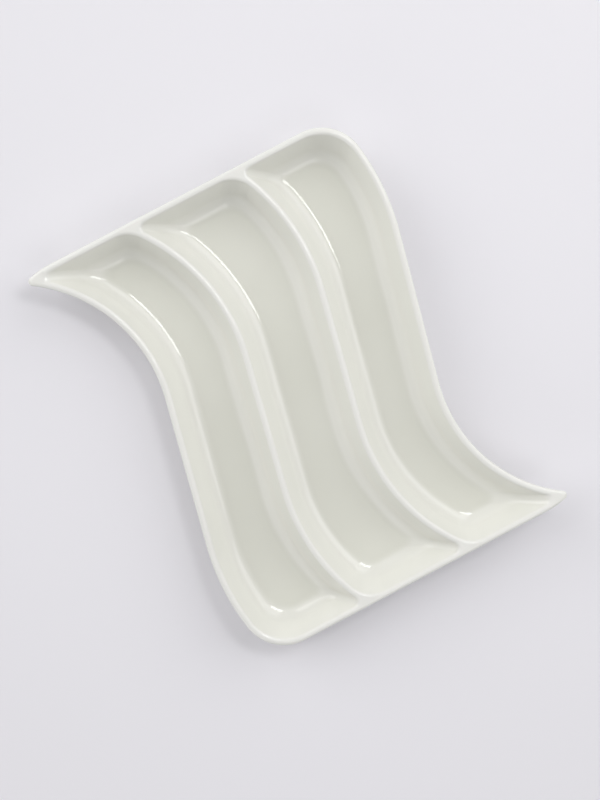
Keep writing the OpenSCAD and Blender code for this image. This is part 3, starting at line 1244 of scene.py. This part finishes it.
@dataclass(frozen=True)
class Studio:
    """The floor, the lamps and the camera of the photograph.

    The camera's place, its clipping distances and the floor's half side are in metres.
    Its turns about x, y and z are in radians, and its focal length is in pixels of the
    photograph. The sensor's height and the floor's drop below the rest are in
    millimetres.
    """

    camera_at: tuple[float, float, float] = (-0.01720, 0.07207, 0.83137)
    turn: tuple[float, float, float] = (0.077287, 0.058023, 0.482619)
    focal_px: float = 1196.98
    image_height: int = 800
    sensor_height: float = 24.0
    clip: tuple[float, float] = (0.01, 50.0)
    floor_half: float = 6.0
    floor_drop: float = 0.1
    floor_colour: tuple[float, float, float] = (0.797, 0.785, 0.822)
    floor_roughness: float = 0.9
    floor_sheen: float = 0.1
    world_strength: float = 0.345
    backdrop: float = 0.80
    lamps: tuple[Softbox, ...] = (
        Softbox("key_softbox", 52.0, 26.0, 1.3, (0.46, 0.24), 3.0),
        Softbox("window_softbox", 38.0, 55.0, 3.0, (3.2, 2.2), 37.5),
        Softbox("side_softbox", 152.0, 55.0, 3.0, (2.8, 2.2), 37.0),
        Softbox("far_softbox", 150.0, 76.0, 3.0, (1.5, 1.5), 8.5),
        Softbox("near_softbox", 300.0, 35.0, 3.0, (1.3, 1.3), 8.0),
        Softbox("low_softbox", 240.0, 76.0, 3.0, (1.5, 1.5), 9.0),
    )

    def view_axes(self) -> Matrix:
        """The camera's right, up and backward directions.

        Returns:
            A matrix with one of them in each row.
        """
        rx, ry, rz = self.turn
        return (Matrix.Rotation(rx, 3, "X") @ Matrix.Rotation(ry, 3, "Y")
                @ Matrix.Rotation(rz, 3, "Z"))

    def build(self) -> None:
        """Makes the floor, the world, the lamps and the camera."""
        self.build_floor()
        self.build_world()
        for lamp in self.lamps:
            self.hang(lamp)
        data = bpy.data.cameras.new("camera")
        data.sensor_fit = "VERTICAL"
        data.sensor_height = self.sensor_height
        data.lens = self.focal_px / self.image_height * self.sensor_height
        data.clip_start, data.clip_end = self.clip
        camera = placed("camera", data)
        camera.matrix_world = (Matrix.Translation(self.camera_at)
                               @ self.view_axes().transposed().to_4x4())
        bpy.context.scene.camera = camera

    def build_floor(self) -> None:
        """Makes the plain pale floor, a hair below the resting faces."""
        half, z = self.floor_half, -self.floor_drop * MM
        mesh = bpy.data.meshes.new("floor")
        mesh.from_pydata([(-half, -half, z), (half, -half, z), (half, half, z),
                          (-half, half, z)], [], [(0, 1, 2, 3)])
        material = bpy.data.materials.new("floor_paper")
        material.use_nodes = True
        shader = material.node_tree.nodes["Principled BSDF"]
        shader.inputs["Base Color"].default_value = (*self.floor_colour, 1.0)
        shader.inputs["Roughness"].default_value = self.floor_roughness
        shader.inputs["Specular IOR Level"].default_value = self.floor_sheen
        mesh.materials.append(material)
        floor = placed("floor", mesh)

    def build_world(self) -> None:
        """Makes the even light from all around, and the backdrop that the camera sees."""
        world = bpy.data.worlds.new("studio")
        bpy.context.scene.world = world
        world.use_nodes = True
        t = TreeMaker(world.node_tree)
        back = t.tree.nodes["Background"].inputs
        back["Color"].default_value = (1.0, 1.0, 1.0, 1.0)
        seen = t.node("ShaderNodeLightPath").outputs["Is Camera Ray"]
        t.join(t.math("MULTIPLY_ADD", seen, self.backdrop - self.world_strength,
                      self.world_strength), back["Strength"])

    def hang(self, lamp: Softbox) -> None:
        """Hangs a lamp, facing the tray.

        Args:
            lamp: The lamp.
        """
        right, up, _ = self.view_axes()
        bearing, zenith = math.radians(lamp.bearing), math.radians(lamp.zenith)
        level = right * math.cos(bearing) + up * math.sin(bearing)
        level = Vector((level.x, level.y, 0.0)).normalized()
        way = level * math.sin(zenith) + Vector((0.0, 0.0, math.cos(zenith)))
        data = bpy.data.lights.new(lamp.name, "AREA")
        data.shape = "RECTANGLE"
        data.size, data.size_y = lamp.size
        data.energy = lamp.power
        hung = placed(lamp.name, data)
        hung.matrix_world = (Matrix.Translation(way * lamp.distance)
                             @ way.to_track_quat("Z", "Y").to_matrix().to_4x4())


# The whole tray


def settle(piece: bpy.types.Object, node: str) -> None:
    """Puts a piece in the place of its node and reports it.

    Args:
        piece: The finished piece.
        node: The node it stands for.
    """
    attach(piece, "root")
    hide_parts(node)
    piece.data.calc_loop_triangles()
    log.info("%s stands for %s: %d triangles", piece.name, node,
             len(piece.data.loop_triangles))


def main() -> None:
    """Builds the tray, its finishes and the studio."""
    logging.basicConfig(level=logging.INFO, format="%(name)s: %(message)s")
    bpy.context.scene.view_settings.view_transform = "Standard"
    plan = TrayPlan()
    fired = fired_surface_group()
    glaze = PorcelainFinish("white_glaze", fired).make()
    wiped = PorcelainFinish("foot_wiped_glaze", fired, Glazing.FOOT_WIPED).make()
    body = PorcelainBody(plan, raised_porcelain_tree(), glaze)
    for i, side in enumerate(SIDES):
        settle(body.well(i, f"{side}_well_shell"), f"{side}_well")
    settle(body.rim("rim_band"), "rim")
    for i, side in enumerate(("left", "right")):
        settle(body.ridge(i, f"{side}_ridge_crest"), f"{side}_divider_ridge")
    feet = FootRings(plan, foot_ring_tree(), wiped)
    for i, side in enumerate(SIDES):
        settle(feet.ring(i, f"{side}_foot"), f"{side}_foot_ring")
    Studio().build()


if __name__ == "__main__":
    main()
